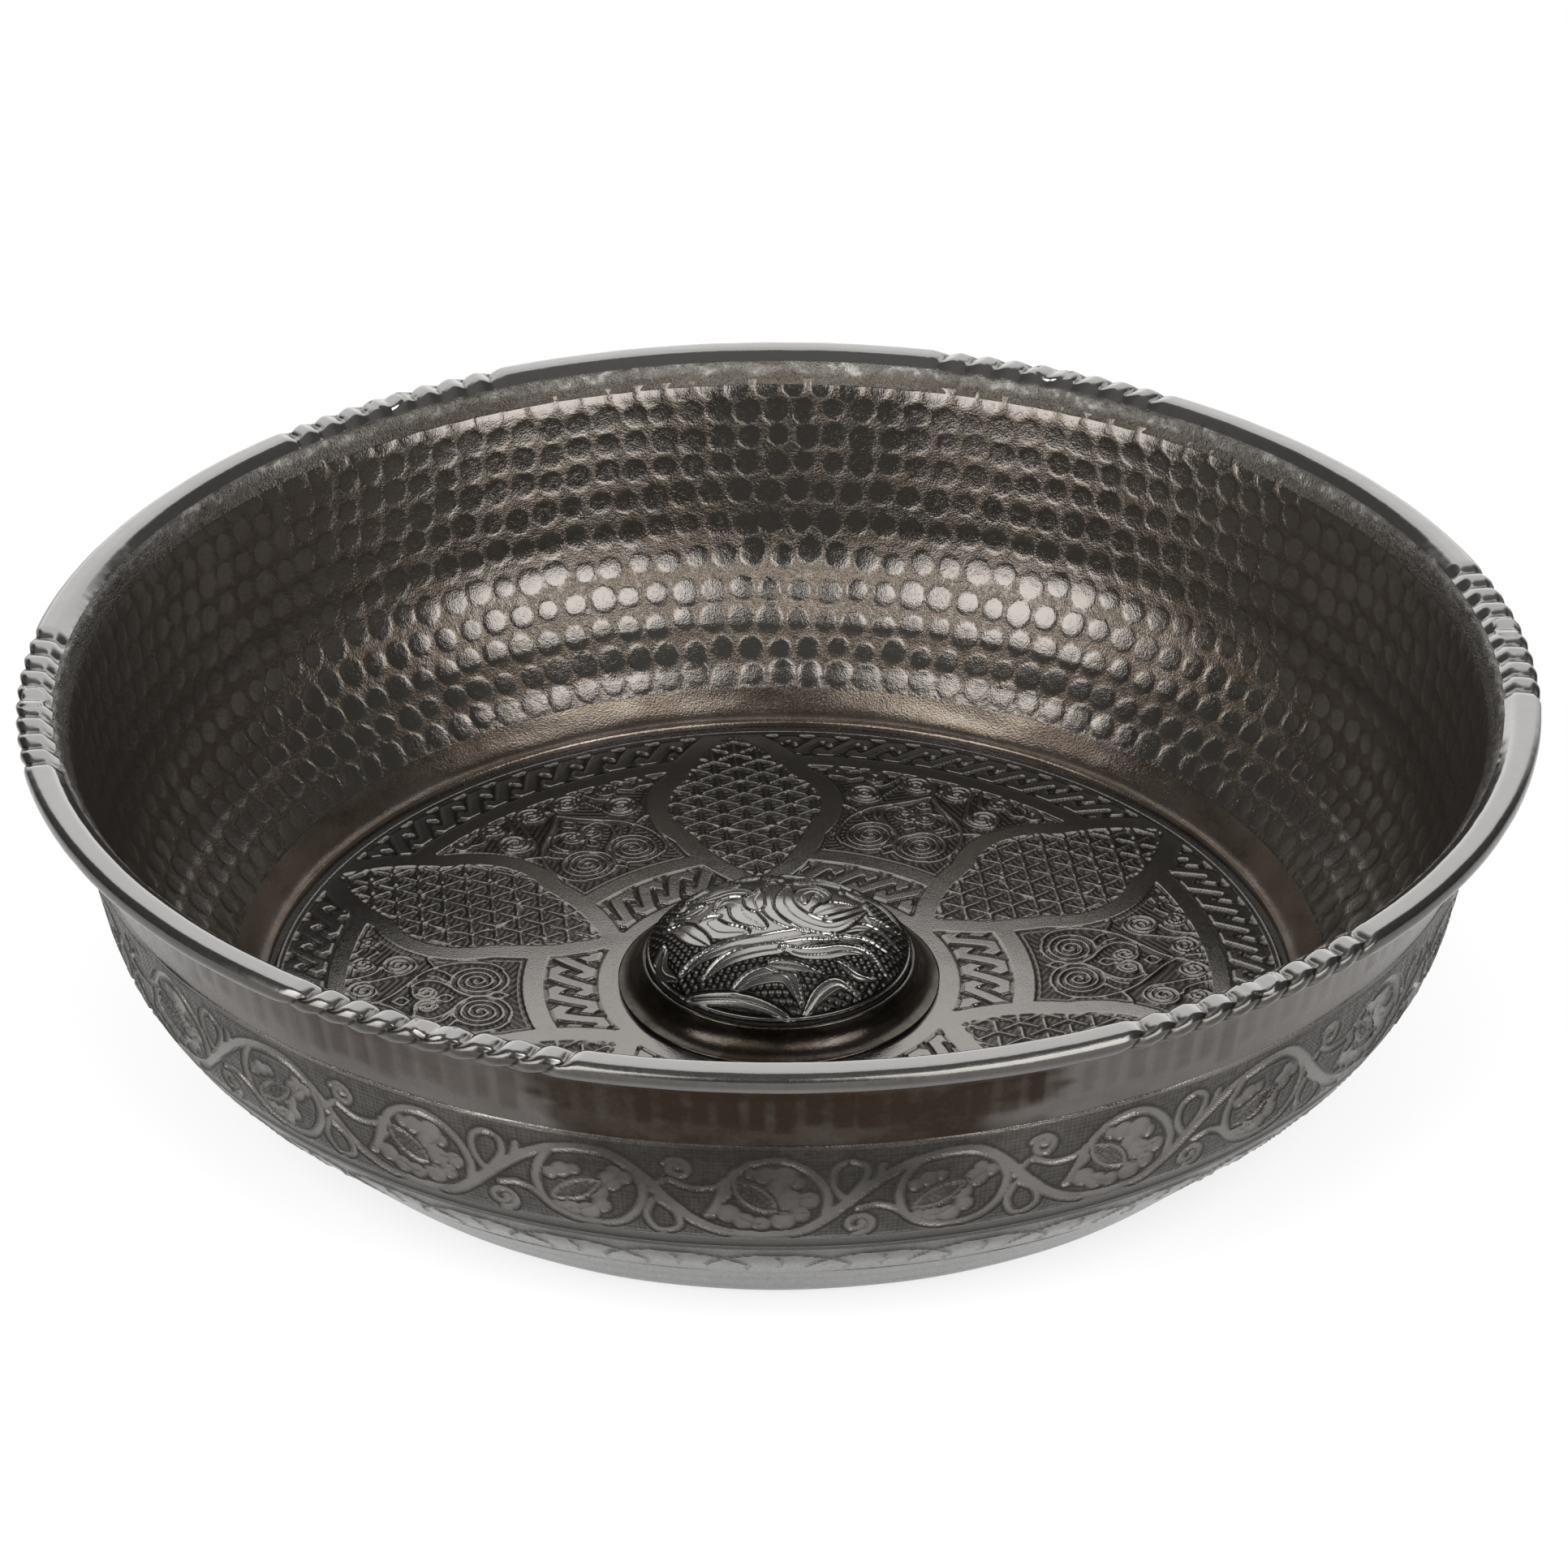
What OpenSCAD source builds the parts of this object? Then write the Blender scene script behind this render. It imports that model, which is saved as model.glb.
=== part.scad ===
// Hammam bowl: a raised sheet bowl with a wired rim, a rosette disc on its floor and a domed boss.
// The origin is the middle of the resting face, and +Z is up.

/* [Bowl] */
// Diameter over the rolled rim
rim_d = 200; // [188:1:230]
// Height from the resting face to the top of the rim
bowl_h = 52.3; // [48:0.1:62]
// Thickness of the raised sheet
sheet_t = 1.3; // [1:0.05:1.6]
// Diameter of the flat resting face
base_d = 134; // [120:1:142]
// Outer radius of the turn between the base and the lower wall
base_turn_r = 6; // [4.5:0.5:7]
// Slope of the lower wall, from level
lower_slope = 45; // [40:1:50]
// Outer radius of the shoulder between the lower and the upper wall
shoulder_r = 25; // [15:1:35]
// Lean of the upper wall, from upright
wall_lean = 11; // [6:1:15]

/* [Rim] */
// Diameter of the wire that the edge is rolled over
wire_d = 1.4; // [1:0.1:2]
// Gap between the wire and the sheet around it
wire_gap = 0.05; // [0.03:0.01:0.1]
// Gap between the hem of the roll and the lip
hem_gap = 0.2; // [0.1:0.05:0.4]
// Lean of the flared lip below the roll, from upright
lip_lean = 45; // [35:1:55]
// Length of the lip, from its bend to the roll
lip_l = 4.3; // [3:0.1:6]
// Radius of the bend below the lip, on the outside
lip_bend_r = 5; // [3:0.5:8]

/* [Rope clusters] */
// Number of rope-twist clusters chased into the rim
rope_clusters = 6; // [0:1:8]
// Number of notches in a cluster
rope_notches = 9; // [3:1:11]
// Angle from one notch to the next, about the bowl's axis
rope_pitch = 2.47; // [2.3:0.01:3]
// Slant of the notches, from straight across the rim
rope_slant = 12; // [0:1:18]
// Depth of a notch
notch_d = 0.55; // [0.3:0.05:0.8]
// Width of a notch at the face of the roll
notch_w = 1.7; // [1:0.1:2.2]

/* [Floor ring] */
// Length of the cove ring's seat, up the lower wall
ring_seat_l = 6; // [5:0.1:7]
// Height of the ring's lip above the face of the floor disc
ring_lip_h = 1.2; // [0.8:0.1:1.8]
// Thickness of the ring's upper edge
ring_edge_t = 0.35; // [0.2:0.05:0.5]
// Hollow of the cove below a straight slope
cove_hollow = 0.35; // [0.1:0.05:0.5]

/* [Floor disc] */
// Width of the groove between the ring's lip and the disc
edge_groove_w = 1.1; // [0.6:0.1:1.6]
// Thickness of the rosette disc
disc_t = 1.25; // [1.1:0.05:1.6]
// Depth of the ground between the plain straps
relief_d = 0.35; // [0.2:0.05:0.6]
// Width of the plain border round the edge
border_w = 0.9; // [0.6:0.1:1.5]
// Width of the outer fret band
fret_band_w = 6.3; // [5:0.1:8]
// Width of the strap inside the fret band
outer_strap_w = 2.7; // [2:0.1:3.5]
// Width of the strap inside the fans
inner_strap_w = 2.9; // [2:0.1:3.5]
// Width of the fret panels near the boss
fret_panel_w = 7.3; // [6:0.1:9]
// Width of the plain ring round the boss
boss_ring_w = 2.9; // [2:0.1:4]

/* [Petals] */
// Number of petals in the rosette
petals = 6; // [5:1:7]
// Diameter of the round lobe in the middle of a petal's field
petal_lobe_d = 22.4; // [20:0.1:24]
// Width of a petal's pointed field, where the lobe crosses it
petal_w = 18.4; // [15:0.1:20]
// Gap between a petal's outer tip and the border
petal_outer_gap = 0.1; // [0:0.1:2]
// Gap between a petal's inner tip and the plain ring round the boss
petal_inner_gap = 2.1; // [1:0.1:4]
// Width of the plain strap round a petal
petal_strap_w = 3; // [2:0.1:3.5]
// Turn of the rosette from +X
rosette_turn = 6; // [0:1:59]

/* [Boss] */
// Diameter of the collar's foot
collar_d = 44; // [40:0.5:47]
// Height of the collar above the floor disc
collar_h = 4; // [3:0.1:5]
// Upright edge of the collar's foot
collar_foot_h = 0.5; // [0.3:0.1:0.8]
// Width of the collar's flare
collar_flare_w = 3.2; // [2.5:0.1:4]
// Width of the collar's top land, outside the cap
collar_land_w = 0.6; // [0.4:0.1:1]
// Width of the flange that lies on the disc, outside the spigot
collar_flange_w = 3; // [2:0.1:3.5]
// Width of the ledge that the cap stands on
cap_ledge_w = 2.2; // [1.8:0.1:3]
// Rise of the dome above the collar
dome_rise = 7.2; // [5:0.1:9]
// Thickness of the cap
cap_t = 1; // [0.8:0.05:1.4]
// Depth that the cap's skirt sinks into the collar
skirt_h = 1.4; // [1:0.1:2]

/* [Fits] */
// Gap between soldered faces
solder_gap = 0.05; // [0.02:0.01:0.1]

/* [Hidden] */
$fn = 96;
arc_steps = 10;
overcut = 1;
roll_r = wire_d / 2 + wire_gap;
bead_r = roll_r + sheet_t;
bead_c = [rim_d / 2 - bead_r, bowl_h - bead_r];
notch_places = [-15, 35, 85];
base_r = base_d / 2;
lean_dir = 90 - wall_lean;
floor_z = sheet_t + solder_gap;
disc_z = floor_z + disc_t;
collar_z = disc_z + collar_h;
seat_z = collar_z - skirt_h;
brass = [0.36, 0.32, 0.27];
dark_brass = [0.27, 0.24, 0.21];
pale_brass = [0.46, 0.42, 0.36];
wire_brass = [0.55, 0.43, 0.24];

// Points along an arc from angle a0 to angle a1
function arc(c, r, a0, a1, steps = arc_steps) =
    [for (i = [0:steps]) let (a = a0 + (a1 - a0) * i / steps) c + r * [cos(a), sin(a)]];

// Crossing of the line from p along angle a with the line from q along angle b
function crossing(p, a, q, b) =
    let (d = q - p, k = (d[0] * sin(b) - d[1] * cos(b)) / sin(b - a)) p + k * [cos(a), sin(a)];

// The wall runs from the base turn up the lower slope, round the shoulder and up to the flared lip and the roll
turn_c = [base_r, base_turn_r];
slope_out = [sin(lower_slope), -cos(lower_slope)];
slope_up = [cos(lower_slope), sin(lower_slope)];
slope_start = turn_c + base_turn_r * slope_out;
wall_in = [-cos(wall_lean), sin(wall_lean)];
wall_up = [sin(wall_lean), cos(wall_lean)];
lip_in = [-cos(lip_lean), sin(lip_lean)];
lip_up = [sin(lip_lean), cos(lip_lean)];
lip_top = bead_c + roll_r * lip_in;
lip_knee = lip_top - lip_l * lip_up;
bend_run = lip_bend_r * tan((lip_lean - wall_lean) / 2);
bend_c = lip_knee - bend_run * wall_up - lip_bend_r * wall_in;
shoulder_knee = crossing(slope_start, lower_slope, lip_knee, lean_dir);
shoulder_run = shoulder_r * tan((lean_dir - lower_slope) / 2);
shoulder_c = shoulder_knee - shoulder_run * slope_up - shoulder_r * slope_out;

// The ring lies on the inside of the lower slope, and the disc fills the floor inside its lip
ring_seat = turn_c + (base_turn_r - floor_z) * slope_out;
disc_r = ring_seat[0] - edge_groove_w;
disc_edge_dir = asin((disc_r - base_r) / (base_turn_r - floor_z)) - 90;

// Radii of the rosette, from the edge inwards and from the boss outwards
collar_r = collar_d / 2;
fret_outer_r = disc_r - border_w;
fret_inner_r = fret_outer_r - fret_band_w;
fan_outer_r = fret_inner_r - outer_strap_w;
panel_inner_r = collar_r + boss_ring_w;
panel_outer_r = panel_inner_r + fret_panel_w;
fan_inner_r = panel_outer_r + inner_strap_w;
petal_tip_r = fret_outer_r - petal_outer_gap;
petal_root_r = panel_inner_r + petal_inner_gap;
petal_mid_r = (petal_tip_r + petal_root_r) / 2;
petal_half_l = (petal_tip_r - petal_root_r) / 2;
petal_arc_r = (petal_half_l * petal_half_l + petal_w * petal_w / 4) / petal_w;

// The boss is sized inwards from the collar's foot
hole_r = collar_r - collar_flange_w;
cap_r = collar_r - collar_flare_w - collar_land_w;
dome_r = (cap_r * cap_r + dome_rise * dome_rise) / (2 * dome_rise);

// One face of the wall, from the base turn to the bend below the lip, at a depth inside the outer face
function wall_face(depth) = concat(
    arc(turn_c, base_turn_r - depth, -90, lower_slope - 90),
    arc(shoulder_c, shoulder_r - depth, lower_slope - 90, -wall_lean),
    arc(bend_c, lip_bend_r + depth, 180 - wall_lean, 180 - lip_lean));

module wall_profile() {
    inside = wall_face(sheet_t);
    polygon(concat(
        [[0, 0]],
        wall_face(0),
        [lip_top, lip_top + sheet_t * lip_in],
        [for (i = [len(inside) - 1:-1:0]) inside[i]],
        [[0, sheet_t]]));
}

// The edge goes over the wire and round to a hem against the underside of the lip
module roll_profile() {
    translate(bead_c)
        rotate(-lip_lean)
            difference() {
                circle(bead_r);
                circle(roll_r);
                translate([-2 * bead_r, -2 * bead_r])
                    square([2 * bead_r - roll_r + hem_gap, 2 * bead_r]);
            }
}

// A straight V cut under the face at angle a, from behind its middle to ahead of it
module notch_cut(a, behind_l, ahead_l) {
    cut_d = notch_d + overcut / 2;
    cut_w = notch_w * cut_d / notch_d;
    rotate([90, 0, 0])
        rotate(a)
            translate([bead_r - notch_d, ahead_l, 0])
                rotate([90, 0, 0])
                    linear_extrude(behind_l + ahead_l)
                        polygon([[0, 0], [cut_d, -cut_w / 2], [cut_d, cut_w / 2]]);
}

// Cuts one after another carry a notch from the outside of the roll over its top and down the lip
module rope_notch() {
    floor_r = bead_r - notch_d;
    half_l = sqrt(bead_r * bead_r - floor_r * floor_r) + overcut / 2;
    for (a = notch_places)
        notch_cut(a, half_l, half_l);
    notch_cut(180 - lip_lean, half_l, lip_l);
}

module rope_cluster() {
    for (i = [0:rope_notches - 1])
        rotate((i - (rope_notches - 1) / 2) * rope_pitch)
            translate([bead_c[0], 0, bead_c[1]])
                rotate(-rope_slant)
                    rope_notch();
}

module plain_shell() {
    rotate_extrude() {
        wall_profile();
        roll_profile();
    }
}

// The clusters are chased one after another
module roped_shell(done) {
    if (done == 0)
        plain_shell();
    else
        difference() {
            roped_shell(done - 1);
            rotate(rosette_turn + done * 360 / rope_clusters)
                rope_cluster();
        }
}

module bowl_shell() {
    color(brass)
        roped_shell(rope_clusters);
}

module rim_wire() {
    color(wire_brass)
        rotate_extrude()
            translate(bead_c)
                circle(wire_d / 2);
}

// The ring's cove runs from its thin upper edge down to the lip over the edge of the disc
module floor_ring() {
    seat_end = ring_seat + ring_seat_l * slope_up;
    edge_top = seat_end - ring_edge_t * slope_out;
    lip = [ring_seat[0], disc_z + ring_lip_h];
    run = lip - edge_top;
    dip = cove_hollow * [run[1], -run[0]] / norm(run);
    cove = [for (i = [0:arc_steps]) let (k = i / arc_steps) edge_top + k * run - 4 * k * (1 - k) * dip];
    color(pale_brass)
        rotate_extrude()
            polygon(concat([ring_seat, seat_end], cove));
}

// A petal's outline is where two arcs cross, with a round lobe in the middle, wider by grow all round
module petal_outline(grow) {
    arc_shift = petal_arc_r - petal_w / 2;
    translate([petal_mid_r, 0]) {
        circle(petal_lobe_d / 2 + grow);
        intersection() {
            translate([0, arc_shift])
                circle(petal_arc_r + grow);
            translate([0, -arc_shift])
                circle(petal_arc_r + grow);
        }
    }
}

module petal_ring(grow) {
    for (i = [0:petals - 1])
        rotate(rosette_turn + (i + 0.5) * 360 / petals)
            petal_outline(grow);
}

module band(outer_r, inner_r) {
    difference() {
        circle(outer_r);
        circle(inner_r);
    }
}

// The sunk ground: petal fields, fret band, fans and inner fret panels
module rosette_ground() {
    petal_ring(0);
    difference() {
        union() {
            band(fret_outer_r, fret_inner_r);
            band(fan_outer_r, fan_inner_r);
            band(panel_outer_r, panel_inner_r);
        }
        petal_ring(petal_strap_w);
    }
}

module floor_medallion() {
    color(dark_brass)
        difference() {
            rotate_extrude()
                polygon(concat(
                    [[hole_r, floor_z]],
                    arc(turn_c, base_turn_r - floor_z, -90, disc_edge_dir),
                    [[disc_r, disc_z], [hole_r, disc_z]]));
            translate([0, 0, disc_z - relief_d])
                linear_extrude(relief_d + overcut)
                    rosette_ground();
        }
}

// The collar's spigot goes through the disc to the floor, and its ledge carries the cap
module boss_collar() {
    spigot_r = hole_r - solder_gap;
    rebate_r = cap_r + solder_gap;
    bore_r = rebate_r - cap_ledge_w;
    foot_z = disc_z + solder_gap;
    flare_rise = collar_h - collar_foot_h;
    flare = [for (i = [0:arc_steps]) let (a = 90 * i / arc_steps)
        [collar_r - collar_flare_w * sin(a), collar_z - flare_rise * cos(a)]];
    color(pale_brass)
        rotate_extrude()
            polygon(concat(
                [[bore_r, floor_z], [spigot_r, floor_z], [spigot_r, foot_z], [collar_r, foot_z]],
                flare,
                [[rebate_r, collar_z], [rebate_r, seat_z], [bore_r, seat_z]]));
}

module boss_cap() {
    color(dark_brass)
        rotate_extrude() {
            intersection() {
                translate([0, collar_z + dome_rise - dome_r])
                    band(dome_r, dome_r - cap_t);
                translate([0, collar_z])
                    square([cap_r, dome_rise]);
            }
            translate([cap_r - cap_t, seat_z + solder_gap])
                square([cap_t, skirt_h - solder_gap]);
        }
}

bowl_shell();
rim_wire();
floor_ring();
floor_medallion();
boss_collar();
boss_cap();
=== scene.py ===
# Hammam bowl: the looks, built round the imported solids
# Sizes in the dictionaries are in millimetres, and the scene is in metres
import math
import bmesh
import bpy
import numpy as np
from mathutils import Matrix, Vector


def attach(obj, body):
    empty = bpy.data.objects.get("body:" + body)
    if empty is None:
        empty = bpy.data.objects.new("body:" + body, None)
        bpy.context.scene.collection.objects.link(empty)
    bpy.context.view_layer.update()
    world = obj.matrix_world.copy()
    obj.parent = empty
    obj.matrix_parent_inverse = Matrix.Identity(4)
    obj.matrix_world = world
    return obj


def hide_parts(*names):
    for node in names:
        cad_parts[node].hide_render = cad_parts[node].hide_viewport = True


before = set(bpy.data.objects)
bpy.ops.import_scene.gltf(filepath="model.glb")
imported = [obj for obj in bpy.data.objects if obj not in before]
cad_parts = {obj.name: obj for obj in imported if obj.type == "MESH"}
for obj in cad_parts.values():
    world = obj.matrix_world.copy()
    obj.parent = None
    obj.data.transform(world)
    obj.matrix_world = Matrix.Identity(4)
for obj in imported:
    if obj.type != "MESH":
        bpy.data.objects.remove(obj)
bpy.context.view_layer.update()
scene = bpy.context.scene
scene.view_settings.view_transform = "Standard"
mm = 0.001
far = 9.0
tau = 2 * math.pi
print("frame loaded with", len(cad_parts), "solids")


# Small helpers for lines and soft edges
def ease(low, high, x):
    t = np.clip((x - low) / (high - low), 0.0, 1.0)
    return t * t * (3.0 - 2.0 * t)


def ridge(distance, half, soft=0.16):
    return 1.0 - ease(half - soft, half + soft, distance)


def strokeDistance(x, y, ax, ay, bx, by):
    dx, dy = bx - ax, by - ay
    t = np.clip(((x - ax) * dx + (y - ay) * dy) / max(dx * dx + dy * dy, 1e-9), 0.0, 1.0)
    return np.hypot(x - ax - t * dx, y - ay - t * dy)


def closeTo(x, y, points, reach):
    # which places of the surface lie in the box round a line
    low, high = points.min(0) - reach, points.max(0) + reach
    return np.nonzero((x > low[0]) & (x < high[0]) & (y > low[1]) & (y < high[1]))[0]


def lineDistance(x, y, points, reach=1.5):
    # worked out only for the surface close to the line, and far elsewhere
    points = np.asarray(points, float)
    near = closeTo(x, y, points, reach)
    found = np.full(len(x), far)
    if len(near):
        best = np.full(len(near), far)
        for a, b in zip(points[:-1], points[1:]):
            best = np.minimum(best, strokeDistance(x[near], y[near], *a, *b))
        found[near] = best
    return found


def flowing(points, steps=8):
    # a smooth line through a few points
    p = np.asarray(points, float)
    p = np.vstack((2 * p[0] - p[1], p, 2 * p[-1] - p[-2]))
    t = np.linspace(0, 1, steps, endpoint=False)[:, None]
    parts = []
    for a, b, c, d in zip(p[:-3], p[1:-2], p[2:-1], p[3:]):
        parts.append(0.5 * (2 * b + (c - a) * t + (2 * a - 5 * b + 4 * c - d) * t ** 2
                            + (3 * b - a - 3 * c + d) * t ** 3))
    return np.vstack(parts + [p[-2:-1]])


def spiral(x, y, radius, turns, start, hand, core=0.3):
    # wound from the outside in, hand 1 runs counter-clockwise
    t = np.linspace(0, 1, int(26 * turns) + 1)
    a = math.radians(start) + hand * t * turns * tau
    r = radius + (core - radius) * t
    return np.column_stack((x + r * np.cos(a), y + r * np.sin(a)))


def almond(x, y, ax, ay, bx, by, half):
    # signed distance to a pointed leaf from a to b, negative inside
    length = math.hypot(bx - ax, by - ay) / 2
    ux, uy = (bx - ax) / (2 * length), (by - ay) / (2 * length)
    cx, cy = x - (ax + bx) / 2, y - (ay + by) / 2
    run = cx * ux + cy * uy
    off = np.abs(cy * ux - cx * uy)
    radius = (length * length + half * half) / (2 * half)
    return np.hypot(off + radius - half, run) - radius


def blade(x, y, points, half, fat):
    # signed distance to a leaf that swells and tapers along a flowing line
    line = flowing(points, 5)
    width = half * np.sin(math.pi * np.linspace(0.04, 1, len(line)) ** fat)
    near = closeTo(x, y, line, half + 1)
    found, middle = np.full(len(x), far), np.full(len(x), far)
    for i in range(len(line) - 1):
        d = strokeDistance(x[near], y[near], *line[i], *line[i + 1])
        middle[near] = np.minimum(middle[near], d)
        found[near] = np.minimum(found[near], d - (width[i] + width[i + 1]) / 2)
    return found, middle


def around(radius, degrees):
    return radius * math.cos(math.radians(degrees)), radius * math.sin(math.radians(degrees))


def roughness(angle, s, count, step, seed):
    # smooth random heights from -1 to 1 on a grid round the bowl
    rows = int(np.max(s) / step) + 3
    grid = np.random.default_rng(seed).uniform(-1, 1, (rows, count))
    a = (angle / tau) % 1 * count
    b = np.maximum(s, 0) / step
    i, j = np.floor(a).astype(int), np.floor(b).astype(int)
    u, v = ease(0, 1, a - i), ease(0, 1, b - j)
    left, right = i % count, (i + 1) % count
    low = grid[j, left] * (1 - u) + grid[j, right] * u
    high = grid[j + 1, left] * (1 - u) + grid[j + 1, right] * u
    return low * (1 - v) + high * v


def arcPoints(cx, cz, radius, fromAngle, toAngle, count):
    a = np.radians(np.linspace(fromAngle, toAngle, count))
    return np.column_stack((cx + radius * np.cos(a), cz + radius * np.sin(a)))


def runAlong(points):
    # the way along a line to each of its points
    return np.concatenate(([0.0], np.cumsum(np.hypot(*np.diff(points, axis=0).T))))


def evenly(points, step, fromRun=0.0, toRun=None):
    # the same line with points at even steps, or a part of it
    points = np.asarray(points, float)
    run = runAlong(points)
    end = run[-1] if toRun is None else toRun
    s = np.linspace(fromRun, end, max(2, int(round((end - fromRun) / step)) + 1))
    return np.column_stack((np.interp(s, run, points[:, 0]), np.interp(s, run, points[:, 1])))


# Every round piece is a closed outline turned about the bowl's axis, then sculpted on its front
# Side says which way the front looks, and spin and cuts how finely it is divided round the axis
def turned(name, material, front, back, side, spin, cuts, sculpt=None, span=360.0, start=0.0):
    front = np.asarray(front, float)
    along = np.gradient(front, axis=0)
    along /= np.hypot(along[:, 0], along[:, 1])[:, None]
    run = runAlong(front)
    bm = bmesh.new()
    layer = {k: bm.verts.layers.float.new(k) for k in ("row", "rad", "high", "outR", "outZ", "run")}
    place = Matrix.Rotation(math.radians(start), 4, "Z")
    loop = []
    for i, (r, z) in enumerate(np.vstack((front, np.asarray(back, float)))):
        v = bm.verts.new(place @ Vector((r * mm, 0, z * mm)))
        v[layer["row"]] = i
        v[layer["rad"]] = r
        v[layer["high"]] = z
        v[layer["run"]] = run[i] if i < len(front) else -1.0
        if i < len(front):
            v[layer["outR"]] = side * along[i, 1]
            v[layer["outZ"]] = -side * along[i, 0]
        loop.append(v)
    outline = [bm.edges.new((loop[i - 1], loop[i])) for i in range(len(loop))]
    whole = span == 360.0
    bmesh.ops.spin(bm, geom=loop + outline, cent=(0, 0, 0), axis=(0, 0, 1),
                   angle=math.radians(span), steps=spin, use_merge=whole)
    bmesh.ops.remove_doubles(bm, verts=bm.verts, dist=1e-7)
    row = layer["row"]
    hoops = [e for e in bm.edges if e.verts[0][row] == e.verts[1][row]]
    for e in hoops:
        e.smooth = 0 < e.verts[0][row] < len(front) - 1
    bmesh.ops.subdivide_edges(bm, edges=hoops, cuts=cuts)
    if not whole:
        ends = bmesh.ops.holes_fill(bm, edges=[e for e in bm.edges if e.is_boundary])["faces"]
        for e in {e for f in ends for e in f.edges}:
            e.smooth = False
    bmesh.ops.recalc_face_normals(bm, faces=bm.faces)
    for f in bm.faces:
        f.smooth = True
    me = bpy.data.meshes.new(name)
    bm.to_mesh(me)
    bm.free()
    count = len(me.vertices)
    co = np.empty(count * 3, np.float32)
    me.vertices.foreach_get("co", co)
    angle = np.arctan2(co[1::3], co[0::3]).astype(float)
    got = {}
    for k in layer:
        value = np.empty(count, np.float32)
        me.attributes[k].data.foreach_get("value", value)
        got[k] = value.astype(float)
        me.attributes.remove(me.attributes[k])
    lift, relief = np.zeros(count), np.ones(count)
    face = got["run"] >= 0
    if sculpt:
        lift[face], relief[face] = sculpt(angle[face], got["rad"][face], got["run"][face])
    rad = got["rad"] + got["outR"] * lift
    high = got["high"] + got["outZ"] * lift
    co = np.column_stack((rad * np.cos(angle), rad * np.sin(angle), high)) * mm
    me.vertices.foreach_set("co", co.astype(np.float32).ravel())
    me.attributes.new("relief", "FLOAT", "POINT").data.foreach_set("value", relief.astype(np.float32))
    me.materials.append(material)
    me.update()
    piece = bpy.data.objects.new(name, me)
    scene.collection.objects.link(piece)
    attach(piece, "root")
    print("made", name, "with", sum(len(p.vertices) - 2 for p in me.polygons), "triangles")
    return piece


# Shader groups shared by the finishes
def newGroup(name, inputs, outputs):
    group = bpy.data.node_groups.new(name, "ShaderNodeTree")
    for way, sockets in (("INPUT", inputs), ("OUTPUT", outputs)):
        for label, kind in sockets.items():
            group.interface.new_socket(label, in_out=way, socket_type="NodeSocket" + kind)
    return group, group.nodes.new("NodeGroupInput"), group.nodes.new("NodeGroupOutput")


def addMath(tree, operation, a, b=None, c=None, clamp=False):
    node = tree.nodes.new("ShaderNodeMath")
    node.operation = operation
    node.use_clamp = clamp
    for i, value in enumerate((a, b, c)):
        if value is None:
            continue
        if isinstance(value, (int, float)):
            node.inputs[i].default_value = value
        else:
            tree.links.new(value, node.inputs[i])
    return node.outputs[0]


def addNoise(tree, vector, scale, detail, rough):
    node = tree.nodes.new("ShaderNodeTexNoise")
    node.inputs["Scale"].default_value = scale
    node.inputs["Detail"].default_value = detail
    node.inputs["Roughness"].default_value = rough
    tree.links.new(vector, node.inputs["Vector"])
    return node.outputs["Fac"]


def addMix(tree, factor, a, b):
    node = tree.nodes.new("ShaderNodeMix")
    node.data_type = "RGBA"
    for index, socket in ((0, factor), (6, a), (7, b)):
        tree.links.new(socket, node.inputs[index])
    return node.outputs[2]


patinaLook = {"cloud": (55, 5, 0.6), "speck": (1400, 3, 0.7), "cloudShare": 1.3, "speckShare": 0.7,
              "faceGain": 1.35, "rubbedFrom": 0.8, "rubbedGain": 2.2, "speckRough": 0.22}
grainLook = {"fine": (3800, 2, 0.6), "slow": (190, 3, 0.5), "tops": 0.75, "hollows": 0.25, "height": 0.0004}


def makePatinaGroup():
    # brown-black in the hollows, grey bronze on the faces, rubbed bright on the tops
    group, inside, outside = newGroup(
        "agedPatina", {"Relief": "Float", "Hollow": "Color", "Face": "Color", "Rubbed": "Color",
                       "Mottle": "Float", "Rough Hollow": "Float", "Rough Face": "Float"},
        {"Color": "Color", "Roughness": "Float", "Age": "Float"})
    where = group.nodes.new("ShaderNodeTexCoord").outputs["Object"]
    cloud = addNoise(group, where, *patinaLook["cloud"])
    speck = addNoise(group, where, *patinaLook["speck"])
    speckShift = addMath(group, "SUBTRACT", speck, 0.5)
    shift = addMath(group, "MULTIPLY_ADD", addMath(group, "SUBTRACT", cloud, 0.5), patinaLook["cloudShare"],
                    addMath(group, "MULTIPLY", speckShift, patinaLook["speckShare"]))
    worn = addMath(group, "MULTIPLY_ADD", shift, inside.outputs["Mottle"], inside.outputs["Relief"])
    toFace = addMath(group, "MULTIPLY", worn, patinaLook["faceGain"], clamp=True)
    above = addMath(group, "SUBTRACT", worn, patinaLook["rubbedFrom"])
    toRubbed = addMath(group, "MULTIPLY", above, patinaLook["rubbedGain"], clamp=True)
    base = addMix(group, toFace, inside.outputs["Hollow"], inside.outputs["Face"])
    colour = addMix(group, toRubbed, base, inside.outputs["Rubbed"])
    gap = addMath(group, "SUBTRACT", inside.outputs["Rough Face"], inside.outputs["Rough Hollow"])
    rough = addMath(group, "MULTIPLY_ADD", gap, toFace, inside.outputs["Rough Hollow"])
    rough = addMath(group, "MULTIPLY_ADD", speckShift, patinaLook["speckRough"], rough, clamp=True)
    group.links.new(colour, outside.inputs["Color"])
    group.links.new(rough, outside.inputs["Roughness"])
    group.links.new(toFace, outside.inputs["Age"])
    return group


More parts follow.
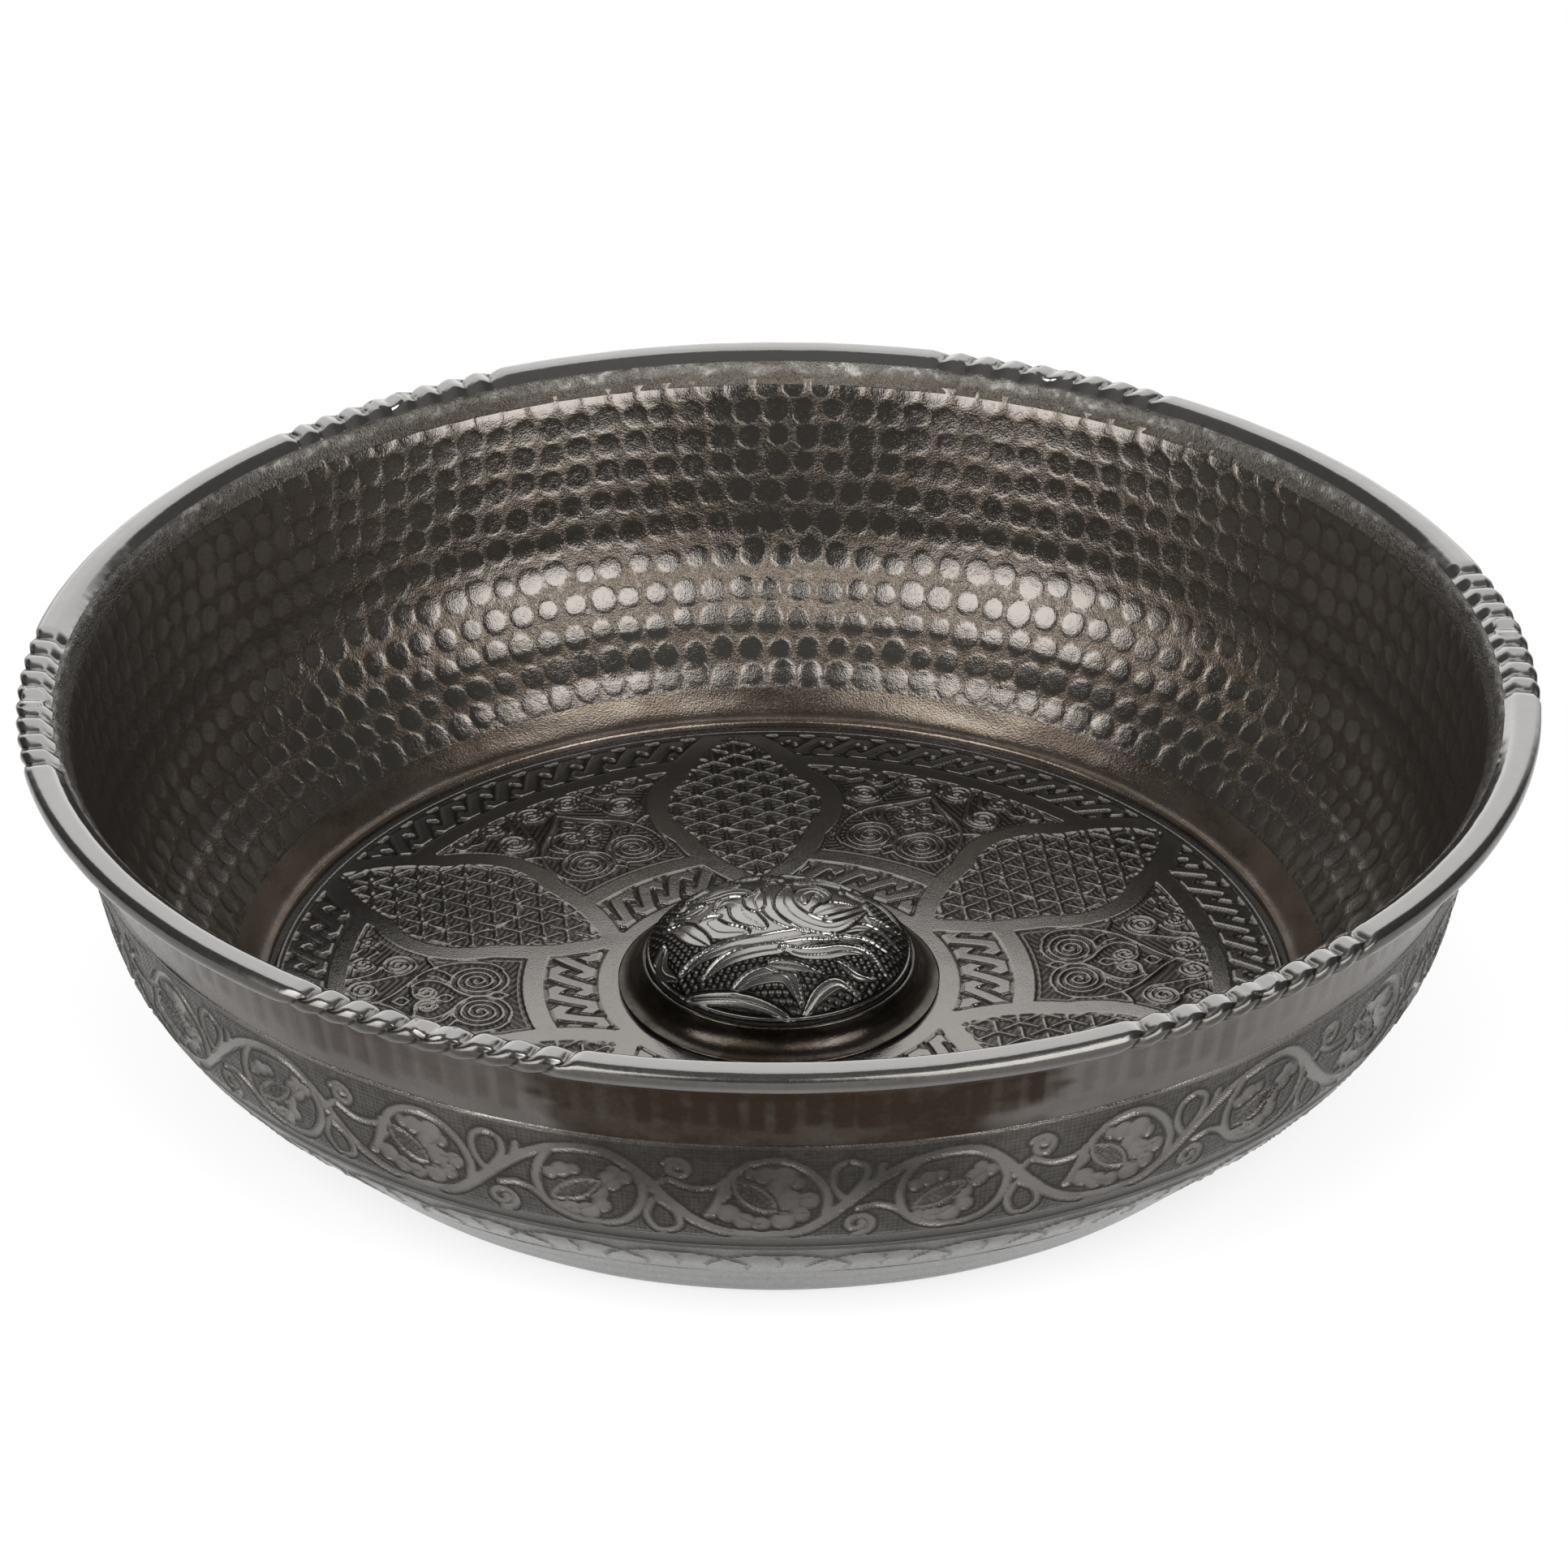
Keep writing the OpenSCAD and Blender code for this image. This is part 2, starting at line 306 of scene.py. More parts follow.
def makeGrainGroup():
    # worked metal: fine grains and a slow unevenness
    group, inside, outside = newGroup(
        "metalGrain", {"Fine": "Float", "Uneven": "Float"}, {"Height": "Float"})
    where = group.nodes.new("ShaderNodeTexCoord").outputs["Object"]
    grain = addNoise(group, where, *grainLook["fine"])
    wave = addNoise(group, where, *grainLook["slow"])
    fine = addMath(group, "MULTIPLY", grain, inside.outputs["Fine"])
    height = addMath(group, "MULTIPLY_ADD", wave, inside.outputs["Uneven"], fine)
    group.links.new(height, outside.inputs["Height"])
    return group


patinaGroup = makePatinaGroup()
grainGroup = makeGrainGroup()


def placeGroup(tree, group, values):
    node = tree.nodes.new("ShaderNodeGroup")
    node.node_tree = group
    for label, value in values.items():
        node.inputs[label].default_value = value
    return node


def metalFinish(name, look):
    material = bpy.data.materials.new(name)
    material.use_nodes = True
    tree = material.node_tree
    shader = tree.nodes["Principled BSDF"]
    shader.inputs["Metallic"].default_value = look["metallic"]
    relief = tree.nodes.new("ShaderNodeAttribute")
    relief.attribute_name = "relief"
    patina = placeGroup(tree, patinaGroup, {
        "Hollow": look["hollow"] + (1,), "Face": look["face"] + (1,), "Rubbed": look["rubbed"] + (1,),
        "Mottle": look["mottle"], "Rough Hollow": look["rough"][0], "Rough Face": look["rough"][1]})
    tree.links.new(relief.outputs["Fac"], patina.inputs["Relief"])
    tree.links.new(patina.outputs["Color"], shader.inputs["Base Color"])
    tree.links.new(patina.outputs["Roughness"], shader.inputs["Roughness"])
    grain = placeGroup(tree, grainGroup, {"Fine": look["grain"][0], "Uneven": look["grain"][1]})
    height = grain.outputs["Height"]
    if look.get("grainOnTops"):
        share = addMath(tree, "MULTIPLY_ADD", patina.outputs["Age"], grainLook["tops"], grainLook["hollows"])
        height = addMath(tree, "MULTIPLY", height, share)
    bump = tree.nodes.new("ShaderNodeBump")
    bump.inputs["Strength"].default_value = look["bump"]
    bump.inputs["Distance"].default_value = grainLook["height"]
    tree.links.new(height, bump.inputs["Height"])
    tree.links.new(bump.outputs["Normal"], shader.inputs["Normal"])
    return material


# Finishes, with their values in the order of the labels: colours, then how the metal shines
finishLabels = ("hollow", "face", "rubbed", "metallic", "mottle", "rough", "grain", "bump", "grainOnTops")
finish = {
    "hammered": ((0.09, 0.082, 0.074), (0.072, 0.059, 0.047), (0.12, 0.105, 0.09),
                 0.87, 0.9, (0.12, 0.19), (1.0, 0.2), 0.38, True),
    "band": ((0.022, 0.0145, 0.009), (0.11, 0.1, 0.093), (0.15, 0.14, 0.13),
             0.95, 0.3, (0.2, 0.26), (0.25, 0.2), 0.4),
    "frieze": ((0.018, 0.0155, 0.013), (0.125, 0.117, 0.109), (0.15, 0.144, 0.138),
               0.9, 0.3, (0.35, 0.24), (0.5, 0.2), 0.4),
    "outer": ((0.014, 0.0115, 0.0095), (0.05, 0.046, 0.042), (0.075, 0.071, 0.067),
              0.9, 0.35, (0.35, 0.24), (0.5, 0.2), 0.4),
    "roll": ((0.02, 0.016, 0.012), (0.17, 0.165, 0.159), (0.21, 0.205, 0.2),
             0.95, 0.25, (0.3, 0.12), (0.12, 0.2), 0.2),
    "border": ((0.045, 0.038, 0.031), (0.1, 0.094, 0.087), (0.3, 0.285, 0.27),
               0.9, 0.8, (0.2, 0.3), (1.0, 0.3), 0.6),
    "rosette": ((0.012, 0.0095, 0.007), (0.12, 0.112, 0.104), (0.16, 0.152, 0.144),
                0.95, 0.3, (0.35, 0.13), (0.2, 0.25), 0.3),
    "smooth": ((0.05, 0.036, 0.025), (0.1, 0.083, 0.067), (0.14, 0.122, 0.104),
               0.85, 1.2, (0.2, 0.12), (0.4, 0.4), 0.35),
    "collar": ((0.014, 0.0105, 0.007), (0.062, 0.054, 0.046), (0.1, 0.09, 0.08),
               0.94, 1.1, (0.3, 0.06), (0.3, 0.3), 0.25),
    "dome": ((0.006, 0.005, 0.004), (0.19, 0.183, 0.173), (0.22, 0.213, 0.204),
             0.97, 0.15, (0.35, 0.15), (0.08, 0.2), 0.2),
    "wire": ((0.1, 0.07, 0.035), (0.4, 0.3, 0.15), (0.5, 0.38, 0.2),
             1.0, 0.3, (0.45, 0.3), (0.3, 0.2), 0.2),
}
metal = {name: metalFinish(name + "Bronze", dict(zip(finishLabels, row))) for name, row in finish.items()}
print("made", len(metal), "finishes")

# The wall's faces, from the base turn up to the lip and the roll
wall = {"beadAt": (97.95, 50.25), "wire": 0.75, "lip": 45, "lean": 11, "bendAt": (98.996, 45.285),
        "bend": 5, "turnAt": (67, 6), "turn": 6, "slope": 45, "shoulderAt": (65.785, 31.655),
        "shoulder": 25, "sheet": 1.3, "skin": 0.6, "backStep": 6, "points": (24, 60, 16)}


def wallLine(depth):
    lip = math.radians(wall["lip"])
    reach = wall["wire"] + depth
    top = (wall["beadAt"][0] - reach * math.cos(lip), wall["beadAt"][1] + reach * math.sin(lip))
    count, slope = wall["points"], wall["slope"] - 90
    return np.vstack((
        arcPoints(*wall["turnAt"], wall["turn"] - depth, -90, slope, count[0]),
        arcPoints(*wall["shoulderAt"], wall["shoulder"] - depth, slope, -wall["lean"], count[1]),
        arcPoints(*wall["bendAt"], wall["bend"] + depth, 180 - wall["lean"], 180 - wall["lip"], count[2]),
        [top]))


# Hammered inside: rows of round marks, set like bricks
hammer = {"rows": (2.3, 6.4, 10.9, 15.5, 20.3, 25.2, 30.0, 34.5, 38.7, 42.8, 46.4), "gap": 4.25,
          "reach": 3.4, "radius": 2.1, "depth": 0.115, "stray": 0.26, "sizes": (0.84, 1.08),
          "depths": (0.6, 1.2), "heights": (0.9, 1.1), "from": 8.9, "crease": 9.74, "to": 57.2, "seed": 5,
          "bendAt": (0, 3.4, 6.5, 10.2, 13.5), "bend": (0, 0.24, 0.05, -0.2, 0), "upper": (16.0, 24.0),
          "slow": (120, 5.0, 21), "fine": (900, 0.7, 22), "speck": (1100, 0.55, 23), "step": 0.37}


def hammerMarks(angle, rad, run):
    dice = np.random.default_rng(hammer["seed"])
    s = run + hammer["from"] - hammer["crease"]
    nearest = np.full(len(run), far)
    deep = np.zeros(len(run))
    for at in hammer["rows"]:
        close = np.abs(s - at) < hammer["reach"]
        size = float(np.interp(at + hammer["crease"], insideRun, insideLine[:, 0]))
        count = int(round(tau * size / hammer["gap"]))
        gap = tau * size / count
        shift = dice.uniform(0, 1)
        sideways = dice.normal(0, 0.5 * hammer["stray"], count)
        upward = dice.normal(0, 0.9 * hammer["stray"], count)
        radius = hammer["radius"] * dice.uniform(*hammer["sizes"], count)
        depth = hammer["depth"] * dice.uniform(*hammer["depths"], count)
        tall = dice.uniform(*hammer["heights"], count)
        place = (angle[close] / tau) % 1 * count + shift
        best, bestDeep = nearest[close], deep[close]
        for step in (-1, 0, 1):
            k = np.round(place).astype(int) + step
            i = k % count
            d = np.hypot((place - k) * gap - sideways[i], (s[close] - at - upward[i]) * tall[i]) / radius[i]
            closer = d < best
            best = np.where(closer, d, best)
            bestDeep = np.where(closer, depth[i], bestDeep)
        nearest[close], deep[close] = best, bestDeep
    hollow = 0.5 * (1 - ease(0.65, 1.05, nearest)) + 0.5 * np.clip(1 - nearest ** 2, 0, 1)
    uneven = 0.04 * roughness(angle, run, *hammer["slow"]) + 0.016 * roughness(angle, run, *hammer["fine"])
    bend = np.interp(s, hammer["bendAt"], hammer["bend"])
    # fainter marks and thicker patina on the upper wall
    upper = ease(*hammer["upper"], s)
    hollow *= 1 - 0.35 * upper
    speck = 0.75 + 0.35 * roughness(angle, run, *hammer["speck"])
    tone = ease(0.78, 1.03, nearest) * speck * (1 - 0.4 * upper)
    return bend + uneven - deep * hollow, np.clip(tone - 0.5 * (1 - ease(0.5, 7.0, s)), 0, 1)


insideLine = wallLine(wall["sheet"])
insideRun = runAlong(insideLine)
insideBackLine = wallLine(wall["sheet"] - wall["skin"])
insideFront = evenly(insideLine, hammer["step"], hammer["from"], hammer["to"])
insideBack = evenly(insideBackLine, wall["backStep"], hammer["from"], hammer["to"])[::-1]
for k in range(4):
    quarter = turned("hammeredInside" + str(k + 1), metal["hammered"],
                     insideFront, insideBack, side=-1, spin=30, cuts=12, sculpt=hammerMarks,
                     span=90.0, start=45 + 90 * k)
    if k == 0:
        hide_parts("bowl_shell")

# Outside, from the hem downwards: plain band, frieze, two lines, lower band, base
outside = {"hemRun": 5.7, "bandEnd": 9.0, "friezeEnd": 25.3, "lowerEnd": 39.0}
outsideLine = wallLine(0)[::-1]
outsideBackLine = wallLine(wall["skin"])[::-1]


def outsidePart(fromRun, toRun, step):
    hem = outside["hemRun"]
    front = evenly(outsideLine, step, fromRun + hem, toRun + hem)
    back = evenly(outsideBackLine, wall["backStep"], fromRun + hem, toRun + hem)[::-1]
    return front, back


band = {"from": -5.0, "at": 93.5, "markGap": 3.35, "markHalf": 1.15, "to": 6.4, "depth": 0.075, "seed": 8,
        "cloud": (46, 4.0, 31), "fine": (190, 1.2, 32), "slow": (160, 3.0, 33), "patches": (14, 30.0, 34),
        "step": 0.5}


def bandMarks(angle, rad, run):
    dice = np.random.default_rng(band["seed"])
    s = run + band["from"]
    count = int(round(tau * band["at"] / band["markGap"]))
    place = (angle / tau) % 1 * count
    i = np.floor(place).astype(int) % count
    strength = dice.uniform(0.25, 1, count)[i]
    end = band["to"] + dice.normal(0, 0.5, count)[i]
    half = band["markHalf"] * dice.uniform(0.7, 1.15, count)[i]
    across = np.abs(place % 1 - 0.5) * band["markGap"]
    mark = 1 - ease(half - 0.25, half + 0.25, across)
    mark = mark * ease(0.4, 1.2, s) * (1 - ease(end - 0.6, end + 0.6, s))
    cloud = roughness(angle, run, *band["cloud"]) + 0.6 * roughness(angle, run, *band["fine"])
    uneven = 0.03 * roughness(angle, run, *band["slow"])
    # a painted dark reflection on the side facing the camera, and a few fainter patina patches
    reflectionAndPatina = ease(0.935, 0.965, 0.02 * cloud - np.sin(angle))
    reflectionAndPatina = reflectionAndPatina + 0.4 * ease(0.4, 0.9, roughness(angle, run, *band["patches"]))
    tone = 0.72 + 0.12 * cloud - 0.25 * mark * strength - 0.66 * np.clip(reflectionAndPatina, 0, 1)
    return uneven - band["depth"] * mark * strength, np.clip(tone, 0, 1)


bandFront, bandBack = outsidePart(band["from"], outside["bandEnd"], band["step"])
turned("plainBand", metal["band"], bandFront, bandBack,
       side=1, spin=120, cuts=7, sculpt=bandMarks)

# Frieze: a running vine with a lobed leaf in each loop; one period is drawn on a sheet with its own units
vine = {"periods": 13, "at": 91, "start": 9.3, "shift": 12, "tall": 15.5, "depth": 0.44, "sheetLong": 1090.0,
        "sheetTop": 205.0, "sheetPerMm": 21.6, "stem": 0.74, "loop": 0.56, "fine": 0.46, "curl": 0.5,
        "net": 6.4, "punch": 1.25, "wander": (40, 6.0, 41), "grain": (900, 0.7, 42), "tone": (120, 2.5, 43),
        "reflectionAndPatina": (60, 4.0, 44), "step": 0.24}
vinePeriod = tau * vine["at"] / vine["periods"]
vineScale = vinePeriod / vine["sheetLong"]
vineStem = [(250, 522), (360, 505), (440, 452), (540, 368), (640, 296), (730, 258), (820, 246), (905, 262),
            (985, 325), (1060, 405), (1140, 470), (1230, 510), (1340, 522)]
vineLoops = [[(146, 372), (166, 302), (222, 258), (295, 244), (368, 268), (420, 320), (444, 385),
              (436, 446)],
             [(700, 280), (668, 336), (658, 400), (686, 466), (756, 508), (840, 518), (918, 496), (970, 440),
              (986, 375), (966, 316)]]
vineLines = [[(684, 464), (644, 432), (592, 414), (536, 424)], [(1010, 372), (1046, 330)],
             [(1258, 316), (1200, 344), (1130, 350), (1062, 322)],
             [(1010, 410), (994, 468), (1030, 522), (1088, 498), (1080, 440), (1024, 398)],
             [(496, 396), (462, 338), (464, 280), (506, 250), (552, 272), (552, 324), (508, 384)],
             [(560, 345), (590, 318), (604, 272)], [(1232, 320), (1206, 400), (1176, 446)],
             [(146, 372), (120, 404), (100, 446)]]
vineCurls = [(536, 484, 50, 1.35, 95, -1), (1090, 286, 42, 1.3, 215, 1)]
vineDiscs = [(196, 462, 34), (246, 470, 30), (150, 436, 36), (312, 458, 38), (362, 436, 30), (388, 388, 32),
             (330, 388, 40), (300, 350, 36), (318, 306, 40), (262, 300, 34), (222, 296, 22), (352, 326, 24),
             (716, 476, 28), (760, 478, 34), (812, 478, 36), (856, 448, 30), (846, 402, 34), (886, 356, 38),
             (930, 336, 26), (900, 318, 22), (740, 338, 30), (704, 356, 24), (778, 330, 22)]
vineLeaves = [(160, 326, 296, 430, 40), (696, 446, 862, 362, 36)]
vineVeins = [[(300, 440), (352, 432), (386, 436)], [(312, 356), (344, 330), (352, 300)],
             [(338, 388), (372, 386), (402, 378)], [(246, 476), (216, 470), (182, 452)],
             [(840, 442), (800, 474), (752, 484)], [(852, 398), (884, 362), (920, 340)]]


def sheetPoint(points):
    # the drawing's units to millimetres along and down the frieze
    p = np.asarray(points, float)
    return np.column_stack((p[:, 0] * vineScale, (p[:, 1] - vine["sheetTop"]) / vine["sheetPerMm"]))


def friezeRelief(angle, rad, run):
    s = run + outside["bandEnd"] - vine["start"]
    u = ((angle + math.pi / 2) / tau * vine["periods"] % 1) * vinePeriod + vine["shift"]
    v = s + 0.2 * roughness(angle, run, *vine["wander"])
    raised, cut, beside = np.zeros(len(u)), np.zeros(len(u)), np.full(len(u), far)
    for x in (u - vinePeriod, u, u + vinePeriod):
        near = lineDistance(x, v, flowing(sheetPoint(vineStem))) - vine["stem"]
        for lines, half in ((vineLoops, vine["loop"]), (vineLines, vine["fine"])):
            for line in lines:
                near = np.minimum(near, lineDistance(x, v, flowing(sheetPoint(line))) - half)
        for cx, cy, radius, turns, start, hand in vineCurls:
            c = sheetPoint([(cx, cy)])[0]
            curl = spiral(c[0], c[1], radius * vineScale, turns, start, hand, vine["curl"])
            near = np.minimum(near, lineDistance(x, v, curl) - vine["curl"])
        top = (1 - ease(-0.14, 0.14, near)) * (0.86 + 0.14 * ease(0.0, 0.5, -near))
        leaf = np.full(len(u), far)
        for cx, cy, radius in vineDiscs:
            c = sheetPoint([(cx, cy)])[0]
            leaf = np.minimum(leaf, np.hypot(x - c[0], v - c[1]) - radius * vineScale)
        top = np.maximum(top, (1 - ease(-0.14, 0.14, leaf)) * (0.7 + 0.25 * ease(0.0, 0.9, -leaf)))
        beside = np.minimum.reduce([beside, near, leaf])
        for line in vineVeins:
            cut = np.maximum(cut, 0.42 * ridge(lineDistance(x, v, flowing(sheetPoint(line), 5)), 0.1, 0.14))
        for ax, ay, bx, by, half in vineLeaves:
            a, b = sheetPoint([(ax, ay), (bx, by)])
            d = almond(x, v, *a, *b, half * vineScale)
            net = np.maximum(np.cos((x + v) * vine["net"]), np.cos((x - v) * vine["net"]))
            top = np.where(d < 0.25, ridge(np.abs(d + 0.2), 0.26, 0.16), top)
            top = np.where(d < -0.45, 0.15 + 0.5 * ease(0.55, 1.0, net), top)
            cut = np.where(d < 0.3, 0, cut)
        raised = np.maximum(raised, top * (1 - cut))
    inside = ease(0.0, 0.35, v) * (1 - ease(vine["tall"] - 0.35, vine["tall"], v))
    punch = np.cos((u + v) * tau / vine["punch"]) * np.cos((u - v) * tau / vine["punch"])
    ground = 0.26 + 0.2 * punch + 0.08 * roughness(angle, run, *vine["grain"])
    ground = ground * ease(0.2, 0.7, beside)
    level = 1 - inside * (1 - np.maximum(raised, ground))
    line = ridge(np.abs(v + 0.05), 0.14, 0.14) + ridge(np.abs(v - vine["tall"] - 0.1), 0.14, 0.14)
    level = np.clip(level - 0.5 * line, 0, 1)
    # painted dark reflection on the side facing the camera, carried down from the band and fading down the
    # frieze
    reflectionAndPatina = ease(0.94, 0.985, 0.012 * roughness(angle, run, *vine["reflectionAndPatina"]) - np.sin(angle))
    reflectionAndPatina = reflectionAndPatina * (1 - ease(5.0, 15.0, v))
    tone = level * (0.82 + 0.12 * roughness(angle, run, *vine["tone"])) * (1 - 0.75 * reflectionAndPatina)
    return vine["depth"] * (level - 1), tone


friezeFront, friezeBack = outsidePart(outside["bandEnd"], outside["friezeEnd"], vine["step"])
for k in range(3):
    turned("vineFrieze" + str(k + 1), metal["frieze"], friezeFront, friezeBack,
           side=1, spin=80, cuts=8, sculpt=friezeRelief, span=120.0, start=90 + 120 * k)

# Lower band: two engraved lines, a shallow garland and long leaf strokes
garland = {"units": 42, "at": 88, "lines": (26.7, 28.0), "top": 29.6, "low": 31.2, "leafEnd": 37.2,
           "half": 0.2, "depth": 0.22, "step": 0.36}


def lowerMarks(angle, rad, run):
    s = run + outside["friezeEnd"]
    unit = tau * garland["at"] / garland["units"]
    u = ((angle / tau * garland["units"]) % 1) * unit
    cut = np.zeros(len(u))
    for at in garland["lines"]:
        cut = np.maximum(cut, ridge(np.abs(s - at), 0.16, 0.16))
    half = unit / 2
    swag = [(-0.4, garland["low"]), (half * 0.45, garland["top"] + 0.3), (half, garland["top"]),
            (half * 1.55, garland["top"] + 0.4), (unit + 0.4, garland["low"])]
    leaf = [(0, garland["low"]), (half * 0.3, 33.2), (half * 0.42, 35.4), (half * 0.36, garland["leafEnd"])]
    twin = [(0, garland["low"]), (-half * 0.26, 33.0), (-half * 0.4, 34.8), (-half * 0.42, 36.2)]
    middle = [(half, garland["top"] + 1.4), (half * 1.08, 33.4), (half * 1.02, 35.6)]
    for shift in (-unit, 0, unit):
        for line in (swag, leaf, twin, middle):
            d = lineDistance(u + shift, s, flowing(line, 6))
            cut = np.maximum(cut, 0.85 * ridge(d, garland["half"], garland["half"]))
    return -garland["depth"] * cut, 1 - 0.8 * cut


lowerFront, lowerBack = outsidePart(outside["friezeEnd"], outside["lowerEnd"], garland["step"])
turned("lowerBand", metal["outer"], lowerFront, lowerBack,
       side=1, spin=150, cuts=7, sculpt=lowerMarks)

# Base: the turn of the wall and the flat resting face
base = {"flat": 67, "sheet": 1.25, "turnStep": 0.8, "flatStep": 2.2, "backStep": 2, "uneven": (64.0, 70.0)}


def baseMarks(angle, rad, run):
    slow = 0.03 * np.sin(9 * angle + 0.2 * rad) + 0.02 * np.sin(23 * angle - 0.31 * rad)
    above = ease(*base["uneven"], rad)
    return slow * above - 0.02 * above, 0.72 + 0.12 * np.sin(rad * 1.7)


baseRun = outside["lowerEnd"] + outside["hemRun"]
baseFlat = evenly([(base["flat"], 0), (0, 0)], base["flatStep"])[1:]
baseFront = np.vstack((evenly(outsideLine, base["turnStep"], baseRun), baseFlat))
baseTurn = evenly(wallLine(base["sheet"])[:wall["points"][0]], base["backStep"])
baseWall = evenly(outsideBackLine, wall["backStep"], baseRun)
baseBackFlat = [(0, base["sheet"]), (base["flat"], base["sheet"])]
baseBack = np.vstack((baseBackFlat, baseTurn, baseWall[-2:-1], baseWall[:1]))
turned("bowlBase", metal["outer"], baseFront, baseBack,
       side=1, spin=90, cuts=3, sculpt=baseMarks)

# Lip and rolled rim, flattened on top, with six chased rope clusters
rope = {"clusters": 6, "first": 5.7, "notches": 9, "pitch": 4.22, "slant": 0.14, "sweep": 0.7,
        "sweepFrom": 1.2, "depth": 0.95, "crest": 0.47, "oval": (2.6, 2.2), "ovalAt": 0.2, "border": 3.2,
        "lipEnd": 56.4, "lipFoot": 57.7, "lipStep": 0.3, "lipBack": (0.7, 1.6), "core": 0.85, "step": 0.25,
        "topAt": (97.95, 52.3), "slow": (150, 4.0, 51), "fine": (600, 1.0, 52), "ragged": (260, 2.0, 53),
        "bits": (760, 0.8, 54), "lumps": (300, 1.6, 55),
        "section": ((96.1, 49.75), (97.2, 49.4), (98.4, 49.3), (99.3, 49.5), (99.86, 50.0), (100.0, 50.6),
                    (100.0, 51.2), (99.95, 51.5), (99.78, 51.74), (99.36, 52.08), (99.02, 52.25),
                    (98.5, 52.3), (97.4, 52.3), (96.9, 52.22), (96.5, 52.02), (96.1, 51.7), (95.3, 51.0),
                    (94.75, 50.45), (94.42, 49.85))}
lipPart = evenly(insideLine, rope["lipStep"], rope["lipEnd"], rope["lipFoot"])[::-1]
rollFront = evenly(np.vstack((flowing(rope["section"], 6), lipPart)), rope["step"])
rollRun = runAlong(rollFront)
rollTop = rollRun[np.argmin(np.hypot(*(rollFront - rope["topAt"]).T))]


def ropeTwist(angle, rad, run):
    # y is measured across the rim from its top, inwards and down the lip
    y = run - rollTop
    step = tau / rope["clusters"]
    off = (angle - math.radians(rope["first"]) + step / 2) % step - step / 2
    x = off * wall["beadAt"][0]
    u = (x - rope["slant"] * y + rope["sweep"] * np.maximum(-rope["sweepFrom"] - y, 0)) / rope["pitch"]
    end = (rope["notches"] - 1) / 2
    v = u - np.floor(u)
    crest = rope["crest"]
    side = np.where(v < crest, 1 - v / crest, (v - crest) / (1 - crest))
    side = np.where(u < -end, np.clip(1 + (u + end) / (1 - crest), 0, 1), side)
    side = np.where(u > end, np.clip(1 - (u - end) / crest, 0, 1), side)
    cut = 0.25 * side + 0.65 * side ** 2 + 0.1 * ease(0.88, 1.0, side)
    # the notches are deepest on the top and fade down the outer side and down the lip
    hold = ease(-5.4, -4.0, y) * (1 - 0.45 * ease(1.4, 2.6, -y))
    hold = hold * (1 - 0.5 * ease(0.8, 2.2, y)) * (1 - ease(3.0, 3.9, y))
    middle = np.hypot(x / rope["oval"][0], (y - rope["ovalAt"]) / rope["oval"][1])
    line = ridge(np.abs(middle - 1) * rope["oval"][1], 0.13, 0.13)
    cut = np.where(middle < 1, 0.6 * cut, cut) + 0.35 * line
    uneven = 0.03 * roughness(angle, run, *rope["slow"]) + 0.008 * roughness(angle, run, *rope["fine"])
    ragged = y + 0.6 * roughness(angle, run, *rope["ragged"])
    crumble = ease(3.1, 3.6, ragged) * (1 - 0.9 * ease(4.6, 5.4, ragged))
    bits = 0.7 * roughness(angle, run, *rope["bits"]) + 0.6 * roughness(angle, run, *rope["lumps"])
    lift = uneven - rope["depth"] * cut * hold + 0.08 * crumble * bits
    among = ease(-end - 0.5, -end + 0.3, u) * (1 - ease(end - 0.3, end + 0.5, u))
    # darker in the notches from patina, darker down the outer side of the roll as painted shade, and a thin
    # painted highlight along its lower edge
    tone = 1 - 1.1 * ease(0.6, 1.0, cut) * hold - (0.5 + 0.1 * among) * ease(0.8, 1.4, -y)
    tone -= 0.18 * ease(1.5, 2.1, -y)
    tone += 0.5 * ridge(np.abs(y + 3.4), 0.12, 0.12)
    # the border inside the roll has its own crumbled tone
    if np.min(y) > 0:
        tone = 0.1 + crumble * (0.6 + 0.5 * bits) - 0.3 * ease(0.7, 1.0, cut) * hold
    return lift, np.clip(tone, 0, 1)


def borderTwist(angle, rad, run):
    return ropeTwist(angle, rad, run + rollRun[split])


split = int(np.searchsorted(rollRun, rollTop + rope["border"]))
rollBack = arcPoints(*wall["beadAt"], rope["core"], 120, -150, 12)
turned("rolledRim", metal["roll"], rollFront[:split + 1], rollBack,
       side=1, spin=180, cuts=8, sculpt=ropeTwist)
lipBack, lipBackStep = rope["lipBack"]
borderBack = evenly(wallLine(lipBack), lipBackStep, rope["lipEnd"])
turned("lipBorder", metal["border"], rollFront[split:], borderBack,
       side=1, spin=180, cuts=6, sculpt=borderTwist)

# Cove ring round the floor
cove = {"face": ((74.28, 7.2), (73.25, 6.1), (72.2, 4.98), (71.45, 4.3), (70.85, 3.95), (70.29, 3.8)),
        "foot": ((70.05, 3.5), (70.02, 3.1)), "seat": ((70.29, 2.75), (74.53, 6.9)),
        "slow": (140, 2.5, 61), "tone": (90, 2.0, 62)}


def coveUneven(angle, rad, run):
    slow = 0.03 * np.sin(13 * angle + run) + 0.02 * np.sin(31 * angle)
    tone = 0.6 + 0.3 * roughness(angle, run, *cove["tone"])
    return slow + 0.03 * roughness(angle, run, *cove["slow"]), tone


coveFront = np.vstack((flowing(cove["face"], 5), cove["foot"]))
coveRing = turned("coveRing", metal["smooth"], coveFront, cove["seat"],
                  side=-1, spin=120, cuts=5, sculpt=coveUneven)
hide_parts("floor_ring")

